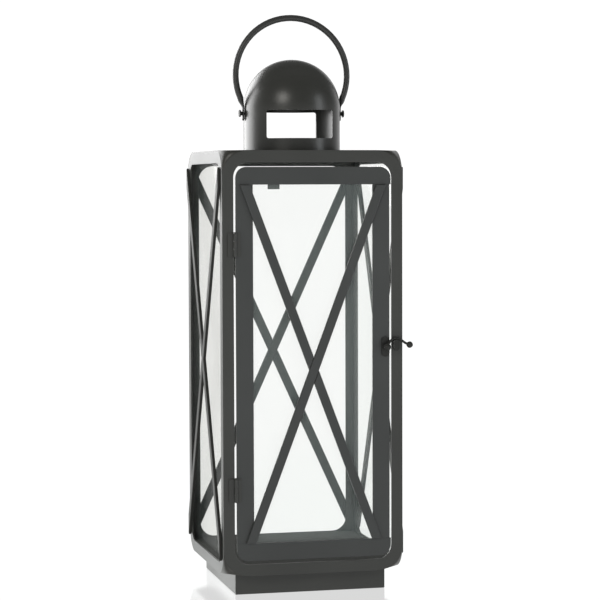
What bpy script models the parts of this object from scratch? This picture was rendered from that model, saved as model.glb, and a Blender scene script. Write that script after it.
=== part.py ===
"""Candle lantern: a tall square steel body with glass on four sides, a hinged door and a domed chimney.

The lantern stands on the XY plane, centred on the origin, and its door faces -Y.
Every wall piece is drawn for the front wall and turned about Z to its own side.
"""
import math

import bmesh
import bpy
from mathutils import Matrix, Vector

MM = 0.001

# Fits
WELD_GAP = 0.3 * MM          # left between pieces that are welded or rest on each other
RUN_GAP = 0.3 * MM           # radial clearance round a pin

# Body
BODY_WIDTH = 200.0 * MM      # along X
BODY_DEPTH = 200.0 * MM      # along Y
BODY_HEIGHT = 459.0 * MM
CORNER_RADIUS = 29.0 * MM    # outer corners of each wall frame
OPENING_RADIUS = 16.5 * MM   # inner corners of each wall frame
FRAME_STRIP = 12.5 * MM      # posts and bottom rail
TOP_STRIP = 14.0 * MM        # top rail of the sides
BACK_TOP_STRIP = 15.5 * MM   # top rail of the back
FRONT_TOP_STRIP = 13.0 * MM  # top rail over the door
FRAME_SHEET = 2.0 * MM
WEB_SHEET = 1.5 * MM         # curved plates that close the rounded corners
WEB_FIRST_WIDTH = 1.0 * MM   # where a plate starts, at the square end of its corner
ROOF_SHEET = 1.5 * MM
FLOOR_SHEET = 1.5 * MM
FLOOR_RISE = 12.0 * MM       # candle floor above the body's lower edge
VENT_INSET = 9.0 * MM        # roof left standing inside the chimney wall
PLINTH_HEIGHT = 22.7 * MM    # shows under the body
PLINTH_SETBACK = 1.5 * MM    # behind the line where the rounded corners end
PLINTH_SHEET = 1.5 * MM

# Crossed bars and panes
PANEL_BAR_WIDTH = 10.0 * MM
PANEL_BAR_THICK = 3.0 * MM
PANEL_BAR_INSET = 8.5 * MM   # bar ends from the body's edge
PANEL_BAR_LIFT = 2.5 * MM    # bar ends above and below the frame opening
DOOR_BAR_WIDTH = 10.0 * MM
DOOR_BAR_THICK = 3.0 * MM
DOOR_BAR_TOP_LAP = 9.2 * MM     # bar centre past the stile's inner edge, at the top rail
DOOR_BAR_BOTTOM_LAP = 3.8 * MM  # the same at the bottom rail
LAP_NOTCH_REACH = 25.0 * MM     # half the length of the notch where two bars cross
GLASS = 2.0 * MM
PANE_STANDOFF = 3.3 * MM        # side and back panes behind their frame, the depth of a seal
GLASS_CORNER_CLEAR = 1.4 * MM   # side and back panes short of the next wall's pane
GLASS_TOP_LAP = 5.0 * MM
DOOR_GLASS_LAP = 6.0 * MM
TAB_WIDTH = 13.0 * MM
TAB_SHEET = 1.0 * MM
TAB_FOOT = 5.0 * MM          # length welded to the rail
TAB_REACH = 4.0 * MM         # over the edge of a pane
DOOR_TAB_REACH = 11.0 * MM   # the long tab at the top of the door
DOOR_TAB_PLACE = -42.4 * MM
TOP_TAB_PLACE = 45.0 * MM    # either side of the middle

# Door
DOOR_SIDE_GAP = 2.2 * MM
DOOR_TOP_GAP = 5.0 * MM
DOOR_BOTTOM_GAP = 4.0 * MM
DOOR_STRIP = 19.0 * MM
DOOR_RADIUS = 12.0 * MM
DOOR_RAIL_OVERHANG = 1.4 * MM   # rails past the latch stile

# Hinges
KNUCKLE_RADIUS = 2.0 * MM
HINGE_PIN_RADIUS = 0.95 * MM
HINGE_LEAF = 0.9 * MM
HINGE_HEIGHT = 25.0 * MM
HINGE_TAB_LAP = 1.5 * MM        # each knuckle's strap over its leaf
HINGE_TOP_OFFSET = 101.5 * MM   # upper hinge's middle below the body's top
HINGE_BOTTOM_OFFSET = 93.5 * MM # lower hinge's middle above the body's lower edge
PIN_STUB = 0.5 * MM             # pin showing under the lowest knuckle
PIN_HEAD = 1.1 * MM
PIN_CROWN = 1.2 * MM            # radius of the flat on top of the head
DOOR_LEAF_REACH = 6.4 * MM      # from the hinge axis
FRAME_LEAF_REACH = 7.6 * MM

# Latch
LATCH_HEIGHT = 245.5 * MM       # above the body's lower edge
LATCH_PIVOT_INSET = 4.8 * MM    # from the door's edge
LATCH_PLATE_WIDTH = 9.0 * MM
LATCH_PLATE_HEIGHT = 22.0 * MM
LATCH_PLATE_SHEET = 1.2 * MM
LEVER_WIRE = 1.35 * MM          # radius
LEVER_EYE = 3.6 * MM
LEVER_EYE_NECK = 0.6 * MM       # between the eye and the bent wire
LEVER_EYE_TIP = 0.35 * MM       # half width where the eye begins
LEVER_EYE_SWEEP = 150.0         # degrees of the eye before it narrows into the wire
LEVER_LEAN = 50.0               # degrees the wire leaves the eye above the level
LEVER_CROWN_BULGE = 0.16        # of its rise, where the wire climbs to the peg
LEVER_BALL = 3.6 * MM
LEVER_BALL_REACH = 6.9 * MM     # past the body's side
LEVER_BALL_RISE = 1.8 * MM      # above the pivot
BALL_CAP = math.radians(3.5)    # half angle of the small flat that ends the ball
PIVOT_SHANK = 1.5 * MM          # radius
PIVOT_COLLAR = 2.6 * MM
PIVOT_COLLAR_LENGTH = 0.8 * MM
KNOB_RADIUS = 3.8 * MM
PEG_WIDTH = 6.0 * MM
PEG_HEIGHT = 12.0 * MM
PEG_TOP_RISE = 7.7 * MM         # above the pivot
PEG_INSET = 1.5 * MM            # from the frame opening's edge
PEG_LENGTH = 5.7 * MM
ROUND_END_SPARE = 0.01 * MM     # flat left between the two corners of a round end

# Chimney
CHIMNEY_RADIUS = 54.0 * MM
CHIMNEY_SHEET = 1.5 * MM
CHIMNEY_HEIGHT = 47.7 * MM      # straight wall
WINDOW_WIDTH = 74.5 * MM
WINDOW_HEIGHT = 31.0 * MM
WINDOW_SILL = 14.0 * MM         # above the roof
WINDOW_RADIUS = 2.0 * MM

# Bail
BAIL_PIVOT_HEIGHT = 42.3 * MM   # above the roof
BAIL_RISE = 42.7 * MM           # centre of the loop above the pivots
BAIL_SPREAD = 9.8 * MM          # loop's centreline outside the chimney wall
BAIL_ROD = 3.5 * MM             # radius
BAIL_EAR_THICK = 2.2 * MM
BAIL_EAR_WIDTH = 8.0 * MM
BAIL_EAR_DROP = 7.8 * MM        # below the pivot
BAIL_EAR_ROUNDING = 3.5 * MM    # height of the rounded tip
BAIL_EAR_TIP = 0.45             # width at the very end, as a share of the ear's width
BAIL_EAR_RISE = 6.2 * MM        # flat above the pivot
BAIL_EAR_CLEAR = 0.4 * MM       # to the chimney wall
RIVET_SHANK = 1.5 * MM          # radius
RIVET_NECK = 2.2 * MM
RIVET_NECK_LENGTH = 1.6 * MM
RIVET_HEAD = 4.0 * MM
RIVET_HEAD_THICK = 1.4 * MM
RIVET_TAIL = 3.0 * MM
RIVET_TAIL_THICK = 1.2 * MM

# Roundness of the mesh
CORNER_STEPS = 8
ROUND_STEPS = 48
DOME_STEPS = 10
LOOP_STEPS = 40
KNOB_STEPS = 20
PIN_STEPS = 16
WIRE_STEPS = 12
BALL_STEPS = 12
BEND_STEPS = 9
CLIMB_STEPS = 6
EAR_STEPS = 3

# Levels and distances that follow from the sizes above
CUT_SPARE = 5.0 * MM                         # cutters run this far past what they cut
BODY_BOTTOM = PLINTH_HEIGHT
BODY_TOP = BODY_BOTTOM + BODY_HEIGHT
OPENING_BOTTOM = BODY_BOTTOM + FRAME_STRIP
OPENING_TOP = BODY_TOP - TOP_STRIP
FRONT_OPENING_TOP = BODY_TOP - FRONT_TOP_STRIP
BACK_OPENING_TOP = BODY_TOP - BACK_TOP_STRIP
FLOOR_TOP = BODY_BOTTOM + FLOOR_RISE
FLOOR_UNDERSIDE = FLOOR_TOP - FLOOR_SHEET
SHEET_BACK = FRAME_SHEET + WELD_GAP          # depth at which a piece touches the frames from inside
DOOR_HALF = BODY_WIDTH / 2 - FRAME_STRIP - DOOR_SIDE_GAP
DOOR_BOTTOM = OPENING_BOTTOM + DOOR_BOTTOM_GAP
DOOR_TOP = FRONT_OPENING_TOP - DOOR_TOP_GAP
DOOR_OPENING_HALF = DOOR_HALF - DOOR_STRIP
DOOR_OPENING_BOTTOM = DOOR_BOTTOM + DOOR_STRIP
DOOR_OPENING_TOP = DOOR_TOP - DOOR_STRIP
FRONT = -BODY_DEPTH / 2
HINGE_X = -DOOR_HALF - DOOR_SIDE_GAP / 2
HINGE_Y = FRONT - WELD_GAP - KNUCKLE_RADIUS
LATCH_X = DOOR_HALF - LATCH_PIVOT_INSET
LATCH_Z = BODY_BOTTOM + LATCH_HEIGHT
PIVOT_Z = BODY_TOP + BAIL_PIVOT_HEIGHT
CHIMNEY_BOTTOM = BODY_TOP + WELD_GAP
CHIMNEY_TOP = CHIMNEY_BOTTOM + CHIMNEY_HEIGHT


def clear_scene():
    for item in list(bpy.data.objects):
        bpy.data.objects.remove(item, do_unlink=True)


def make_material(name, color, roughness, metallic, alpha=1.0):
    material = bpy.data.materials.new(name)
    material.use_nodes = True
    shader = material.node_tree.nodes["Principled BSDF"]
    shader.inputs["Base Color"].default_value = (*color, 1.0)
    shader.inputs["Roughness"].default_value = roughness
    shader.inputs["Metallic"].default_value = metallic
    shader.inputs["Alpha"].default_value = alpha
    return material


def add_object(name, bm, material, turn=0.0, axis=None, smooth=False):
    """Make a named object from bm, turned about Z and carried by the empty on its joint axis."""
    bmesh.ops.recalc_face_normals(bm, faces=bm.faces)
    mesh = bpy.data.meshes.new(name)
    bm.to_mesh(mesh)
    bm.free()
    if smooth:
        mesh.shade_smooth()
        mesh.set_sharp_from_angle(angle=math.radians(35))
    mesh.materials.append(material.copy())
    mesh.materials[0].name = name
    item = bpy.data.objects.new(name, mesh)
    bpy.context.collection.objects.link(item)
    item.rotation_euler.z = turn
    if axis is not None:
        item.parent = axis
        item.matrix_parent_inverse = Matrix.Translation(-axis.location)
    return item


def add_axis(name, place, parent=None):
    """An empty on a joint's axis."""
    empty = bpy.data.objects.new(name, None)
    bpy.context.collection.objects.link(empty)
    empty.location = place
    if parent is not None:
        empty.parent = parent
        empty.matrix_parent_inverse = Matrix.Translation(-parent.location)
    return empty


def cut(item, cutters):
    """Take each cutter's shape out of item."""
    for index, bm in enumerate(cutters):
        mesh = bpy.data.meshes.new(f"{item.name}_cutter_{index}")
        bmesh.ops.recalc_face_normals(bm, faces=bm.faces)
        bm.to_mesh(mesh)
        bm.free()
        cutter = bpy.data.objects.new(mesh.name, mesh)
        bpy.context.collection.objects.link(cutter)
        cutter.hide_render = True
        cutter.display_type = "WIRE"
        modifier = item.modifiers.new(f"cut_{index}", "BOOLEAN")
        modifier.operation = "DIFFERENCE"
        modifier.object = cutter


def join(item, bm):
    """Weld the shape in bm onto item."""
    mesh = bpy.data.meshes.new(f"{item.name}_addition")
    bmesh.ops.recalc_face_normals(bm, faces=bm.faces)
    bm.to_mesh(mesh)
    bm.free()
    addition = bpy.data.objects.new(mesh.name, mesh)
    bpy.context.collection.objects.link(addition)
    addition.hide_render = True
    addition.display_type = "WIRE"
    modifier = item.modifiers.new("weld", "BOOLEAN")
    modifier.operation = "UNION"
    modifier.object = addition


def skin(bm, first, second):
    """Faces between two closed loops of the same number of vertices."""
    count = len(first)
    for i in range(count):
        j = (i + 1) % count
        bm.faces.new((first[i], first[j], second[j], second[i]))


def arc(cx, cz, radius, start, end, steps):
    """Points on an arc, angles in degrees from +u towards +z."""
    points = []
    for i in range(steps + 1):
        angle = math.radians(start + (end - start) * i / steps)
        points.append((cx + radius * math.cos(angle), cz + radius * math.sin(angle)))
    return points


def rounded_outline(left, right, bottom, top, radius, start=0.0):
    """A rectangle with round corners. A start angle above 0 cuts both sides back along the arcs."""
    points = []
    for cx, cz, turn in (
        (right - radius, top - radius, 0),
        (left + radius, top - radius, 90),
        (left + radius, bottom + radius, 180),
        (right - radius, bottom + radius, 270),
    ):
        first = start if turn in (0, 180) else 0.0
        last = 90.0 - (start if turn in (90, 270) else 0.0)
        points += arc(cx, cz, radius, turn + first, turn + last, CORNER_STEPS)
    return points


def ring_plate(outer, inner, front, back):
    """A flat ring in the UZ plane, between two outlines of the same number of points."""
    bm = bmesh.new()
    loops = []
    for outline, depth in ((outer, front), (inner, front), (inner, back), (outer, back)):
        loops.append([bm.verts.new((u, depth, z)) for u, z in outline])
    for first, second in zip(loops, loops[1:] + loops[:1]):
        skin(bm, first, second)
    return bm


def prism(outline, low, high, axis="Y"):
    """An outline pushed along an axis from low to high."""
    place = {
        "X": lambda a, b, d: (d, a, b),
        "Y": lambda a, b, d: (a, d, b),
        "Z": lambda a, b, d: (a, b, d),
    }[axis]
    bm = bmesh.new()
    face = bm.faces.new([bm.verts.new(place(a, b, low)) for a, b in outline])
    pushed = bmesh.ops.extrude_face_region(bm, geom=[face])
    shift = Vector(place(0.0, 0.0, high - low))
    moved = [part for part in pushed["geom"] if isinstance(part, bmesh.types.BMVert)]
    bmesh.ops.translate(bm, verts=moved, vec=shift)
    return bm


def block(low, high):
    outline = [(low[0], low[1]), (high[0], low[1]), (high[0], high[1]), (low[0], high[1])]
    return prism(outline, low[2], high[2], "Z")


def turned(profile, steps, axis="Z", center=(0.0, 0.0, 0.0)):
    """Turn a closed profile of (radius, height) about an axis. A radius of 0 makes a pole."""
    bm = bmesh.new()
    loops = []
    for radius, height in profile:
        if radius == 0.0:
            loops.append([bm.verts.new((0.0, 0.0, height))])
        else:
            ring = [
                bm.verts.new((
                    radius * math.cos(2 * math.pi * i / steps),
                    radius * math.sin(2 * math.pi * i / steps),
                    height,
                ))
                for i in range(steps)
            ]
            loops.append(ring)
    pairs = list(zip(loops, loops[1:]))
    if len(loops[0]) > 1:
        pairs.append((loops[-1], loops[0]))
    for first, second in pairs:
        if len(first) == 1 and len(second) == 1:
            continue
        if len(first) == 1 or len(second) == 1:
            pole, ring = (first[0], second) if len(first) == 1 else (second[0], first)
            for i in range(steps):
                bm.faces.new((pole, ring[i], ring[(i + 1) % steps]))
        else:
            skin(bm, first, second)
    if axis == "X":
        bm.transform(Matrix.Rotation(math.radians(90), 4, "Y"))
    elif axis == "Y":
        bm.transform(Matrix.Rotation(math.radians(90), 4, "X"))
    bm.transform(Matrix.Translation(center))
    return bm


def rod(radius, low, high, steps, axis="Z", center=(0.0, 0.0, 0.0)):
    return turned([(0.0, low), (radius, low), (radius, high), (0.0, high)], steps, axis, center)


def bent_bar(stations, depth, steps):
    """A bar bent in the XZ plane, given stations of (x, z, half thickness, half width along Y)."""
    bm = bmesh.new()
    loops = []
    for i, (x, z, thick, wide) in enumerate(stations):
        before = stations[max(i - 1, 0)]
        after = stations[min(i + 1, len(stations) - 1)]
        along = Vector((after[0] - before[0], 0.0, after[1] - before[1])).normalized()
        across = along.cross(Vector((0.0, 1.0, 0.0)))
        ring = []
        for k in range(steps):
            angle = 2 * math.pi * k / steps
            point = Vector((x, depth, z)) + across * thick * math.cos(angle)
            ring.append(bm.verts.new(point + Vector((0.0, wide * math.sin(angle), 0.0))))
        loops.append(ring)
    for first, second in zip(loops, loops[1:]):
        skin(bm, first, second)
    bm.faces.new(loops[0])
    bm.faces.new(loops[-1])
    return bm


def corner_inset(height_past_arc):
    """How far the rounded corner stands in from the square corner, at a height past the arc's start."""
    return CORNER_RADIUS - math.sqrt(CORNER_RADIUS ** 2 - height_past_arc ** 2)


def build_walls(paint):
    """Four flat frames. The side frames stand between the front and back ones."""
    side_trim = SHEET_BACK
    side_start = math.degrees(math.acos(1.0 - side_trim / CORNER_RADIUS))
    walls = (
        ("front_frame", 0, BODY_WIDTH, BODY_DEPTH, 0.0, FRONT_OPENING_TOP),
        ("right_frame", 90, BODY_DEPTH, BODY_WIDTH, side_start, OPENING_TOP),
        ("back_frame", 180, BODY_WIDTH, BODY_DEPTH, 0.0, BACK_OPENING_TOP),
        ("left_frame", 270, BODY_DEPTH, BODY_WIDTH, side_start, OPENING_TOP),
    )
    for name, turn, width, distance, start, opening_top in walls:
        half = width / 2
        outer = rounded_outline(-half, half, BODY_BOTTOM, BODY_TOP, CORNER_RADIUS, start)
        opening = half - FRAME_STRIP
        inner = rounded_outline(-opening, opening, OPENING_BOTTOM, opening_top, OPENING_RADIUS)
        front = -distance / 2
        bm = ring_plate(outer, inner, front, front + FRAME_SHEET)
        add_object(name, bm, paint, math.radians(turn))


def build_corner_webs(paint):
    """Curved plates that join the arcs of two neighbouring frames across each corner."""
    edge = 2 * SHEET_BACK + WEB_FIRST_WIDTH
    first_angle = math.acos(1.0 - edge / CORNER_RADIUS)
    profile_out = []
    profile_in = []
    for i in range(CORNER_STEPS + 1):
        angle = first_angle + (math.pi / 2 - first_angle) * i / CORNER_STEPS
        inset = CORNER_RADIUS * (1.0 - math.cos(angle))
        height = CORNER_RADIUS * math.sin(angle)
        slope = Vector((math.cos(angle), math.sin(angle) / math.sqrt(2.0))).normalized()
        profile_out.append((inset, height))
        profile_in.append((inset + slope.x * WEB_SHEET * math.sqrt(2.0), height - slope.y * WEB_SHEET))
    for side_x, word_x in ((-1, "left"), (1, "right")):
        for side_y, word_y in ((-1, "front"), (1, "back")):
            for side_z, word_z in ((-1, "bottom"), (1, "top")):
                level = BODY_TOP - CORNER_RADIUS if side_z > 0 else BODY_BOTTOM + CORNER_RADIUS
                bm = bmesh.new()
                loops = []
                for inset, height in profile_out + profile_in[::-1]:
                    z = level + side_z * height
                    far = inset - SHEET_BACK
                    start = (side_x * (BODY_WIDTH / 2 - far), side_y * (BODY_DEPTH / 2 - SHEET_BACK), z)
                    end = (side_x * (BODY_WIDTH / 2 - SHEET_BACK), side_y * (BODY_DEPTH / 2 - far), z)
                    loops.append((bm.verts.new(start), bm.verts.new(end)))
                count = len(loops)
                for i in range(count):
                    j = (i + 1) % count
                    bm.faces.new((loops[i][0], loops[j][0], loops[j][1], loops[i][1]))
                half_count = CORNER_STEPS + 1
                for end in (0, 1):
                    for i in range(half_count - 1):
                        k = count - 1 - i
                        corners = (loops[i], loops[i + 1], loops[k - 1], loops[k])
                        bm.faces.new([pair[end] for pair in corners])
                add_object(f"corner_web_{word_y}_{word_x}_{word_z}", bm, paint)


def chamfered_square(half_x, half_y, chamfer):
    points = []
    for sx, sy, flip in ((1, 1, False), (-1, 1, True), (-1, -1, False), (1, -1, True)):
        pair = [(sx * half_x, sy * (half_y - chamfer)), (sx * (half_x - chamfer), sy * half_y)]
        points += pair[::-1] if flip else pair
    return points


def build_plates(paint):
    """Plinth tray, candle floor and roof."""
    half_x = BODY_WIDTH / 2 - CORNER_RADIUS / 2 - PLINTH_SETBACK
    half_y = BODY_DEPTH / 2 - CORNER_RADIUS / 2 - PLINTH_SETBACK
    top = FLOOR_UNDERSIDE - WELD_GAP
    plinth = add_object("base_plinth", block((-half_x, -half_y, 0.0), (half_x, half_y, top)), paint)
    hollow_x = half_x - PLINTH_SHEET
    hollow_y = half_y - PLINTH_SHEET
    cut(plinth, [block((-hollow_x, -hollow_y, PLINTH_SHEET), (hollow_x, hollow_y, top + CUT_SPARE))])

    half_x = BODY_WIDTH / 2 - SHEET_BACK
    half_y = BODY_DEPTH / 2 - SHEET_BACK
    depth_in_arc = BODY_BOTTOM + CORNER_RADIUS - FLOOR_UNDERSIDE + WEB_SHEET
    reach = corner_inset(min(depth_in_arc, CORNER_RADIUS)) + (WEB_SHEET + 2 * WELD_GAP) * math.sqrt(2.0)
    outline = chamfered_square(half_x, half_y, reach - 2 * SHEET_BACK)
    add_object("floor_plate", prism(outline, FLOOR_UNDERSIDE, FLOOR_TOP, "Z"), paint)

    reach = CORNER_RADIUS + WELD_GAP * math.sqrt(2.0)
    outline = chamfered_square(half_x, half_y, reach - 2 * SHEET_BACK)
    roof = add_object("roof_plate", prism(outline, BODY_TOP - ROOF_SHEET, BODY_TOP, "Z"), paint)
    vent = CHIMNEY_RADIUS - VENT_INSET
    cut(roof, [rod(vent, BODY_TOP - CUT_SPARE, BODY_TOP + CUT_SPARE, ROUND_STEPS)])


def bar_with_lap(
    name, half_run, low, high, width, thick, front, rising, upright_ends, paint, turn, axis,
):
    """One flat bar of a crossed pair, halved where the other passes. The rising bar lies in front.

    half_run holds how far the bar's foot and head stand from the middle.
    """
    foot, head = half_run
    sign = 1.0 if rising else -1.0
    start = Vector((-sign * foot, low))
    end = Vector((sign * head, high))
    along = (end - start).normalized()
    if upright_ends:
        shift = Vector((0.0, width / 2 / abs(along.x)))
    else:
        shift = Vector((width / 2 / abs(along.y), 0.0))
    outline = [start - shift, end - shift, end + shift, start + shift]
    bm = prism([tuple(point) for point in outline], front, front + thick)
    item = add_object(name, bm, paint, turn, axis)

    other_start = Vector((sign * foot, low))
    other_end = Vector((-sign * head, high))
    across = (other_end - other_start).normalized()
    side = Vector((-across.y, across.x)) * (width / 2 + WELD_GAP)
    crossing = foot * (high - low) / (foot + head) + low
    center = Vector((0.0, crossing))
    run = across * LAP_NOTCH_REACH
    corners = [center - run - side, center + run - side, center + run + side, center - run + side]
    middle = front + thick / 2
    if rising:
        low_y, high_y = middle - WELD_GAP / 2, front + thick + CUT_SPARE
    else:
        low_y, high_y = front - CUT_SPARE, middle + WELD_GAP / 2
    notch = prism([tuple(point) for point in corners], low_y, high_y)
    notch.transform(Matrix.Rotation(turn, 4, "Z"))
    cut(item, [notch])


def build_panels(paint, glazing, tab_steel):
    """Crossed bars on the face of each side and back frame, with a pane and two tabs behind it."""
    walls = (
        ("right", 90, BODY_DEPTH, BODY_WIDTH),
        ("back", 180, BODY_WIDTH, BODY_DEPTH),
        ("left", 270, BODY_DEPTH, BODY_WIDTH),
    )
    for name, degrees, width, distance in walls:
        turn = math.radians(degrees)
        face = -distance / 2
        bar_front = face - WELD_GAP - PANEL_BAR_THICK
        rail_back = face + SHEET_BACK
        reach = width / 2 - PANEL_BAR_INSET
        rise = (OPENING_TOP - OPENING_BOTTOM) / width * PANEL_BAR_INSET
        low = OPENING_BOTTOM + rise - PANEL_BAR_LIFT
        high = OPENING_TOP - rise + PANEL_BAR_LIFT
        for rising, word in ((True, "rising"), (False, "falling")):
            bar_with_lap(
                f"{name}_bar_{word}", (reach, reach), low, high, PANEL_BAR_WIDTH, PANEL_BAR_THICK,
                bar_front, rising, True, paint, turn, None,
            )
        front = rail_back + PANE_STANDOFF
        half = width / 2 - (front + GLASS - face) - GLASS_CORNER_CLEAR
        bottom = FLOOR_TOP + WELD_GAP
        top = OPENING_TOP + GLASS_TOP_LAP
        pane = block((-half, front, bottom), (half, front + GLASS, top))
        add_object(f"{name}_glass", pane, glazing, turn)

        behind = front + GLASS + WELD_GAP
        for place, word in ((-TOP_TAB_PLACE, "a"), (TOP_TAB_PLACE, "b")):
            outline = tab_outline(rail_back, behind, top, TAB_REACH, 1)
            bm = prism(outline, place - TAB_WIDTH / 2, place + TAB_WIDTH / 2, "X")
            add_object(f"{name}_glass_tab_{word}", bm, tab_steel, turn)


def tab_outline(rail_back, behind, edge, reach, sign):
    """A strip stepped back over the edge of a pane, as (depth, place) points; sign is the way outwards."""
    step = edge + sign * WELD_GAP
    return [
        (rail_back, step + sign * (TAB_SHEET + TAB_FOOT)),
        (rail_back, step),
        (behind, step),
        (behind, edge - sign * reach),
        (behind + TAB_SHEET, edge - sign * reach),
        (behind + TAB_SHEET, step + sign * TAB_SHEET),
        (rail_back + TAB_SHEET, step + sign * TAB_SHEET),
        (rail_back + TAB_SHEET, step + sign * (TAB_SHEET + TAB_FOOT)),
    ]


def build_door(paint, glazing, tab_steel, axis):
    """Two rails with round outer corners, two stiles between them, crossed bars in front, glass behind."""
    back = FRONT + FRAME_SHEET
    right = DOOR_HALF + DOOR_RAIL_OVERHANG
    top = arc(right - DOOR_RADIUS, DOOR_TOP - DOOR_RADIUS, DOOR_RADIUS, 0, 90, CORNER_STEPS)
    top += arc(-DOOR_HALF + DOOR_RADIUS, DOOR_TOP - DOOR_RADIUS, DOOR_RADIUS, 90, 180, CORNER_STEPS)
    top += [(-DOOR_HALF, DOOR_OPENING_TOP), (right, DOOR_OPENING_TOP)]
    add_object("door_top_rail", prism(top, FRONT, back), paint, 0.0, axis)
    bottom = arc(-DOOR_HALF + DOOR_RADIUS, DOOR_BOTTOM + DOOR_RADIUS, DOOR_RADIUS, 180, 270, CORNER_STEPS)
    bottom += arc(right - DOOR_RADIUS, DOOR_BOTTOM + DOOR_RADIUS, DOOR_RADIUS, 270, 360, CORNER_STEPS)
    bottom += [(right, DOOR_OPENING_BOTTOM), (-DOOR_HALF, DOOR_OPENING_BOTTOM)]
    add_object("door_bottom_rail", prism(bottom, FRONT, back), paint, 0.0, axis)
    low = DOOR_OPENING_BOTTOM + WELD_GAP
    high = DOOR_OPENING_TOP - WELD_GAP
    stile = block((-DOOR_HALF, FRONT, low), (-DOOR_OPENING_HALF, back, high))
    add_object("door_hinge_stile", stile, paint, 0.0, axis)
    stile = block((DOOR_OPENING_HALF, FRONT, low), (DOOR_HALF, back, high))
    add_object("door_latch_stile", stile, paint, 0.0, axis)

    runs = (DOOR_OPENING_HALF + DOOR_BAR_BOTTOM_LAP, DOOR_OPENING_HALF + DOOR_BAR_TOP_LAP)
    bar_front = FRONT - WELD_GAP - DOOR_BAR_THICK
    for rising, word in ((True, "rising"), (False, "falling")):
        bar_with_lap(
            f"door_bar_{word}", runs, low, high, DOOR_BAR_WIDTH, DOOR_BAR_THICK,
            bar_front, rising, False, paint, 0.0, axis,
        )

    glass_front = FRONT + SHEET_BACK
    half = DOOR_OPENING_HALF + DOOR_GLASS_LAP
    low = DOOR_OPENING_BOTTOM - DOOR_GLASS_LAP
    high = DOOR_OPENING_TOP + DOOR_GLASS_LAP
    pane = block((-half, glass_front, low), (half, glass_front + GLASS, high))
    add_object("door_glass", pane, glazing, 0.0, axis)

    behind = glass_front + GLASS + WELD_GAP
    outline = tab_outline(glass_front, behind, high, DOOR_TAB_REACH, 1)
    bm = prism(outline, DOOR_TAB_PLACE - TAB_WIDTH / 2, DOOR_TAB_PLACE + TAB_WIDTH / 2, "X")
    add_object("door_glass_tab_top", bm, tab_steel, 0.0, axis)
    middle = (low + high) / 2
    for sign, word in ((-1, "hinge_side"), (1, "latch_side")):
        stepped = tab_outline(glass_front, behind, sign * half, TAB_REACH, sign)
        outline = [(place, depth) for depth, place in stepped]
        bm = prism(outline, middle - TAB_WIDTH / 2, middle + TAB_WIDTH / 2, "Z")
        add_object(f"door_glass_tab_{word}", bm, tab_steel, 0.0, axis)


def hinge_leaf(direction, reach, knuckles, low, high):
    """A flat leaf and its knuckles; direction is the way the leaf runs from the axis along X."""
    leaf_front = HINGE_Y + KNUCKLE_RADIUS - HINGE_LEAF
    leaf_back = HINGE_Y + KNUCKLE_RADIUS
    near = KNUCKLE_RADIUS + RUN_GAP
    sides = sorted((HINGE_X + direction * near, HINGE_X + direction * reach))
    leaf = block((sides[0], leaf_front, low), (sides[1], leaf_back, high))
    meet = math.degrees(math.asin((leaf_front - HINGE_Y) / KNUCKLE_RADIUS))
    additions = []
    for bottom, top in knuckles:
        tip = HINGE_X + direction * (near + HINGE_TAB_LAP)
        if direction > 0:
            outline = arc(HINGE_X, HINGE_Y, KNUCKLE_RADIUS, meet, -270, 3 * CORNER_STEPS)
        else:
            outline = arc(HINGE_X, HINGE_Y, KNUCKLE_RADIUS, 180 - meet, 450, 3 * CORNER_STEPS)
        outline += [(tip, leaf_back), (tip, leaf_front)]
        additions.append(prism(outline, bottom, top, "Z"))
    return leaf, additions


def build_hinges(hardware, door_axis):
    """Two small butt hinges: the frame leaf has the end knuckles and the door leaf the middle one."""
    for center, word in (
        (BODY_TOP - HINGE_TOP_OFFSET, "upper"),
        (BODY_BOTTOM + HINGE_BOTTOM_OFFSET, "lower"),
    ):
        low = center - HINGE_HEIGHT / 2
        high = center + HINGE_HEIGHT / 2
        third = HINGE_HEIGHT / 3
        gap = WELD_GAP / 2
        outer = ((low, low + third - gap), (high - third + gap, high))
        middle = ((low + third + gap, high - third - gap),)
        bore = HINGE_PIN_RADIUS + RUN_GAP
        for name, direction, reach, knuckles, axis in (
            (f"{word}_hinge_frame_leaf", -1, FRAME_LEAF_REACH, outer, None),
            (f"{word}_hinge_door_leaf", 1, DOOR_LEAF_REACH, middle, door_axis),
        ):
            leaf, additions = hinge_leaf(direction, reach, knuckles, low, high)
            item = add_object(name, leaf, hardware, 0.0, axis)
            for bm in additions:
                join(item, bm)
            ends = (low - CUT_SPARE, high + CUT_SPARE)
            cut(item, [rod(bore, *ends, PIN_STEPS, "Z", (HINGE_X, HINGE_Y, 0.0))])
        seat = high + WELD_GAP
        profile = [
            (0.0, low - PIN_STUB), (HINGE_PIN_RADIUS, low - PIN_STUB), (HINGE_PIN_RADIUS, seat),
            (KNUCKLE_RADIUS, seat), (KNUCKLE_RADIUS, seat + PIN_HEAD / 2),
            (PIN_CROWN, seat + PIN_HEAD), (0.0, seat + PIN_HEAD),
        ]
        pin = turned(profile, PIN_STEPS, "Z", (HINGE_X, HINGE_Y, 0.0))
        add_object(f"{word}_hinge_pin", pin, hardware, smooth=True)


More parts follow.
